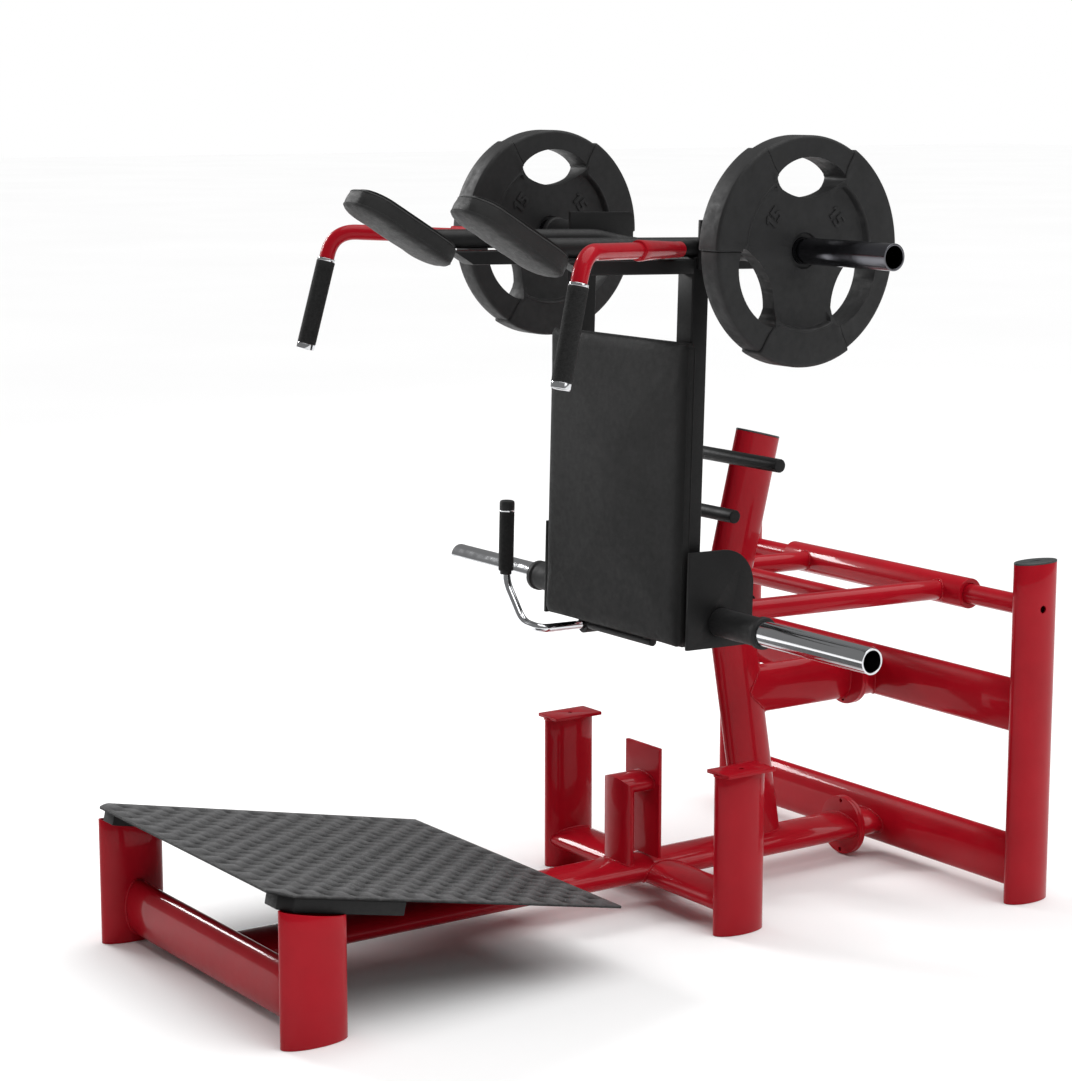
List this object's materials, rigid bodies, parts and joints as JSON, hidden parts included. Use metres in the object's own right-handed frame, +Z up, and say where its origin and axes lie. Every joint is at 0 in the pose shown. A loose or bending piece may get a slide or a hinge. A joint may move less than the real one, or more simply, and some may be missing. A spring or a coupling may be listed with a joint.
{
  "type": "hack squat machine",
  "caption": "Plate-loaded hack squat machine: sloping tread platform, swinging carriage with back pad, shoulder pads and weight sleeves.",
  "frame": {"origin": "on the floor under the middle of the machine", "axes": "+Y from the platform towards the rear posts, +Z up, +X to the left of a user standing on the platform with their back to the pad"},
  "size_m": [1.382, 1.7652, 1.5778],
  "materials": {
    "red_paint": "glossy red powder coat",
    "black_paint": "satin black powder coat",
    "vinyl": "matte black upholstery vinyl",
    "black_rubber": "matte black rubber",
    "grey_plastic": "dark grey moulded plastic",
    "chrome": "polished chrome plate",
    "tread_steel": "dark grey painted tread plate with raised studs"
  },
  "bodies": {
    "base": {"catch_peg_lower": "black_paint", "catch_peg_middle": "black_paint", "catch_peg_upper": "black_paint", "column": "red_paint", "column_cap": "grey_plastic", "column_strut": "red_paint", "front_crossbeam": "red_paint", "front_post_left": "red_paint", "front_post_right": "red_paint", "lower_rear_crossbeam": "red_paint", "mid_crossbeam_left": "red_paint", "mid_crossbeam_right": "red_paint", "mid_post_left": "red_paint", "mid_post_right": "red_paint", "pivot_shaft": "red_paint", "platform_bracket_left": "black_paint", "platform_bracket_right": "black_paint", "rear_post_cap_left": "grey_plastic", "rear_post_cap_right": "grey_plastic", "rear_post_left": "red_paint", "rear_post_right": "red_paint", "spine": "red_paint", "stop_plate": "red_paint", "stop_stub": "red_paint", "tread_plate": "tread_steel", "upper_rear_crossbeam": "red_paint"},
    "carriage": {"pivot_hub": "red_paint", "lever_hanger": "black_paint", "lower_bar": "black_paint", "swing_arm_left": "red_paint", "swing_arm_right": "red_paint", "arm_cross_tube": "red_paint", "upright_left": "black_paint", "upright_right": "black_paint", "lower_bracket_left": "black_paint", "lower_bracket_right": "black_paint", "upper_bracket_left": "black_paint", "upper_bracket_right": "black_paint", "top_rail": "black_paint", "shoulder_arm_left": "black_paint", "shoulder_arm_right": "black_paint", "shoulder_pad_left": "vinyl", "shoulder_pad_right": "vinyl", "back_pad": "vinyl", "lower_collar_left": "black_rubber", "lower_collar_right": "black_rubber", "upper_collar_left": "black_rubber", "upper_collar_right": "black_rubber", "upper_sleeve_left": "chrome", "upper_sleeve_right": "chrome", "lower_axle": "chrome", "handle_left": "red_paint", "handle_right": "red_paint", "handle_grip_left": "black_rubber", "handle_grip_right": "black_rubber"},
    "catch_lever": {"catch_lever": "chrome", "catch_lever_grip": "black_rubber", "catch_hook": "black_paint"},
    "plate_left": {"weight_plate_left": "black_rubber"},
    "plate_right": {"weight_plate_right": "black_rubber"}
  },
  "joints": [
    {"name": "carriage_swing", "type": "hinge", "parent": "base", "child": "carriage", "pos_m": [0, 0.82661, 0.617], "axis": [1, 0, 0], "range_deg": [-25, 20.5]},
    {"name": "catch_lever_turn", "type": "hinge", "parent": "carriage", "child": "catch_lever", "pos_m": [-0.19, 0.18687, 0.54772], "axis": [0, -0.9997, 0.0262], "range_deg": [0, 15]},
    {"name": "plate_left_slide", "type": "slide", "parent": "carriage", "child": "plate_left", "axis": [1, 0, 0], "range_m": [0, 0.31]},
    {"name": "plate_right_slide", "type": "slide", "parent": "carriage", "child": "plate_right", "axis": [-1, 0, 0], "range_m": [0, 0.31]}
  ]
}
